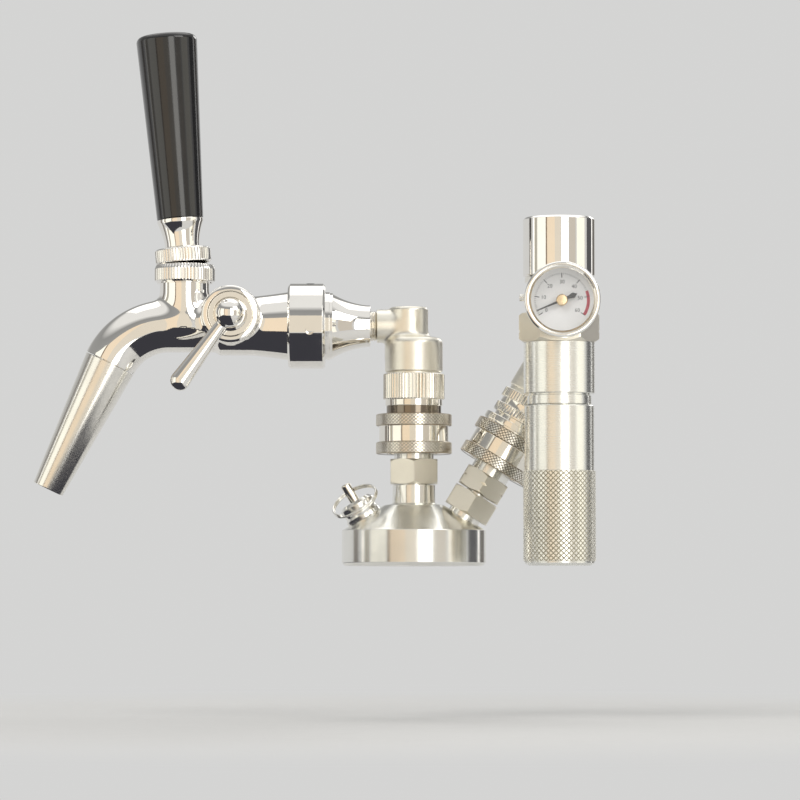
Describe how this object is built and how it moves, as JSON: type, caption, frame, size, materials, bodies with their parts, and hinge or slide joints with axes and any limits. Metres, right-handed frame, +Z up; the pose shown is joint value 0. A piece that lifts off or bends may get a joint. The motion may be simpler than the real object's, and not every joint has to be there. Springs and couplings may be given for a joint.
{
  "type": "mini keg dispensing cap",
  "caption": "Screw-on keg dispensing cap with ball-lock posts, a flow-control tap on a disconnect, a pull-ring relief valve and a cartridge gas regulator with gauge.",
  "frame": {"origin": "centre of the cap's mouth, in the plane of its lower edge, where the keg's neck enters", "axes": "+Z up along the cap's axis, -X towards the tap's spout, +X towards the regulator, -Y towards the viewer and the gauge's face"},
  "size_m": [0.2298, 0.0951, 0.2188],
  "materials": {
    "turned_steel": "satin turned stainless steel",
    "nickel": "satin nickel plate",
    "cast_nickel": "matte plated casting",
    "chrome": "polished chrome",
    "handle_black": "gloss black moulded plastic",
    "alloy": "satin aluminium",
    "gauge_metal": "polished warm plated steel",
    "seal_rubber": "black seal rubber",
    "spring_steel": "spring steel",
    "brass": "machined brass",
    "dial_white": "printed white dial",
    "lens": "clear lens",
    "needle_dark": "dark painted needle",
    "cartridge_steel": "zinc-plated steel"
  },
  "bodies": {
    "cap": {"cap": "turned_steel", "neck_gasket": "seal_rubber", "liquid_post": "turned_steel", "liquid_post_oring": "seal_rubber", "gas_post_adapter": "turned_steel", "gas_post": "turned_steel", "gas_post_oring": "seal_rubber", "relief_body": "turned_steel"},
    "liquid_poppet": {"liquid_poppet": "turned_steel", "liquid_poppet_spring": "spring_steel"},
    "gas_poppet": {"gas_poppet": "turned_steel", "gas_poppet_spring": "spring_steel"},
    "relief_pin": {"relief_pin": "brass", "relief_spring": "spring_steel"},
    "relief_ring": {"relief_ring": "spring_steel"},
    "tap": {"liquid_socket": "nickel", "liquid_lock_balls": "turned_steel", "liquid_pin": "turned_steel", "liquid_elbow": "cast_nickel", "shank_adapter": "chrome", "tap_washer": "seal_rubber", "coupling_nut": "chrome", "tap_body": "chrome", "bonnet_nut": "chrome", "nozzle": "turned_steel", "flow_ring": "chrome"},
    "liquid_sleeve": {"liquid_sleeve": "nickel", "liquid_sleeve_spring": "spring_steel"},
    "lever": {"lever_stem": "turned_steel", "lever_collar": "chrome", "ferrule": "chrome", "tap_handle": "handle_black"},
    "shuttle": {"shuttle": "turned_steel", "shuttle_seal": "seal_rubber"},
    "flow_lever": {"flow_lever": "chrome", "flow_plug": "turned_steel", "flow_seal": "seal_rubber"},
    "gas_disconnect": {"gas_socket": "nickel", "gas_lock_balls": "turned_steel", "gas_pin": "turned_steel", "gas_elbow": "cast_nickel"},
    "gas_sleeve": {"gas_sleeve": "nickel", "gas_sleeve_spring": "spring_steel"},
    "regulator": {"regulator_barrel": "alloy", "regulator_head": "nickel", "vent_screw": "turned_steel", "piercing_pin": "turned_steel", "cartridge_seal": "seal_rubber", "gauge_case": "gauge_metal", "gauge_bezel": "gauge_metal", "gauge_lens": "lens", "gauge_dial": "dial_white"},
    "knob": {"adjusting_knob": "chrome", "adjusting_screw": "brass"},
    "piston": {"regulator_piston": "brass", "regulator_spring": "spring_steel"},
    "needle": {"gauge_needle": "needle_dark"},
    "cartridge_sleeve": {"cartridge_sleeve": "alloy", "gas_cartridge": "cartridge_steel"}
  },
  "joints": [
    {"name": "liquid_swivel", "type": "hinge", "parent": "cap", "child": "tap", "pos_m": [0, 0, 0.04581], "axis": [0, 0, 1], "range_deg": [-100, 45]},
    {"name": "liquid_sleeve_lift", "type": "slide", "parent": "tap", "child": "liquid_sleeve", "axis": [0, 0, 1], "range_m": [0, 0.0025], "stiffness_N_per_m": 800, "springref_m": -0.002, "deforming": ["liquid_sleeve_spring"]},
    {"name": "liquid_poppet_press", "type": "slide", "parent": "cap", "child": "liquid_poppet", "axis": [0, 0, -1], "range_m": [0, 0.0012], "stiffness_N_per_m": 400, "springref_m": -0.002, "deforming": ["liquid_poppet_spring"]},
    {"name": "gas_swivel", "type": "hinge", "parent": "cap", "child": "gas_disconnect", "pos_m": [0.03222, 0, 0.03987], "axis": [0.515, 0, 0.8572], "range_deg": [-15, 20]},
    {"name": "gas_sleeve_lift", "type": "slide", "parent": "gas_disconnect", "child": "gas_sleeve", "axis": [0.515, 0, 0.8572], "range_m": [0, 0.0015], "stiffness_N_per_m": 800, "springref_m": -0.002},
    {"name": "gas_poppet_press", "type": "slide", "parent": "cap", "child": "gas_poppet", "axis": [-0.515, 0, -0.8572], "range_m": [0, 0.0012], "stiffness_N_per_m": 400, "springref_m": -0.002},
    {"name": "regulator_swivel", "type": "hinge", "parent": "gas_disconnect", "child": "regulator", "pos_m": [0.05808, -0.0197, 0.0829], "axis": [0, -1, 0], "range_deg": [-8, 45]},
    {"name": "relief_pull", "type": "slide", "parent": "cap", "child": "relief_pin", "axis": [-0.515, 0, 0.8572], "range_m": [0, 0.002], "stiffness_N_per_m": 800, "springref_m": -0.003},
    {"name": "relief_ring_swing", "type": "hinge", "parent": "relief_pin", "child": "relief_ring", "pos_m": [-0.02648, 0, 0.03031], "axis": [0.8572, 0, 0.515], "range_deg": [-120, 0]},
    {"name": "lever_tilt", "type": "hinge", "parent": "tap", "child": "lever", "pos_m": [-0.094, 0, 0.11721], "axis": [0, -1, 0], "range_deg": [0, 23]},
    {"name": "shuttle_slide", "type": "slide", "parent": "tap", "child": "shuttle", "axis": [1, 0, 0], "range_m": [0, 0.0057]},
    {"name": "flow_lever_turn", "type": "hinge", "parent": "tap", "child": "flow_lever", "pos_m": [-0.0746, -0.0203, 0.10211], "axis": [0, -1, 0], "range_deg": [-90, 90]},
    {"name": "knob_turn", "type": "hinge", "parent": "regulator", "child": "knob", "pos_m": [0.05808, -0.034, 0.1153], "axis": [0, 0, -1], "range_deg": [0, 1080]},
    {"name": "piston_lift", "type": "slide", "parent": "regulator", "child": "piston", "axis": [0, 0, 1], "range_m": [0, 0.0008], "stiffness_N_per_m": 2000, "springref_m": -0.001, "deforming": ["regulator_spring"]},
    {"name": "needle_turn", "type": "hinge", "parent": "regulator", "child": "needle", "pos_m": [0.05808, -0.0596, 0.1042], "axis": [0, 1, 0], "range_deg": [-10, 236], "stiffness_Nm_per_rad": 0.0005},
    {"name": "cartridge_sleeve_off", "type": "slide", "parent": "regulator", "child": "cartridge_sleeve", "axis": [0, 0, -1], "range_m": [0, 0.09]}
  ],
  "couplings": [
    {"joint": "shuttle_slide", "follows": "lever_tilt", "m_per_rad": 0.0133}
  ]
}
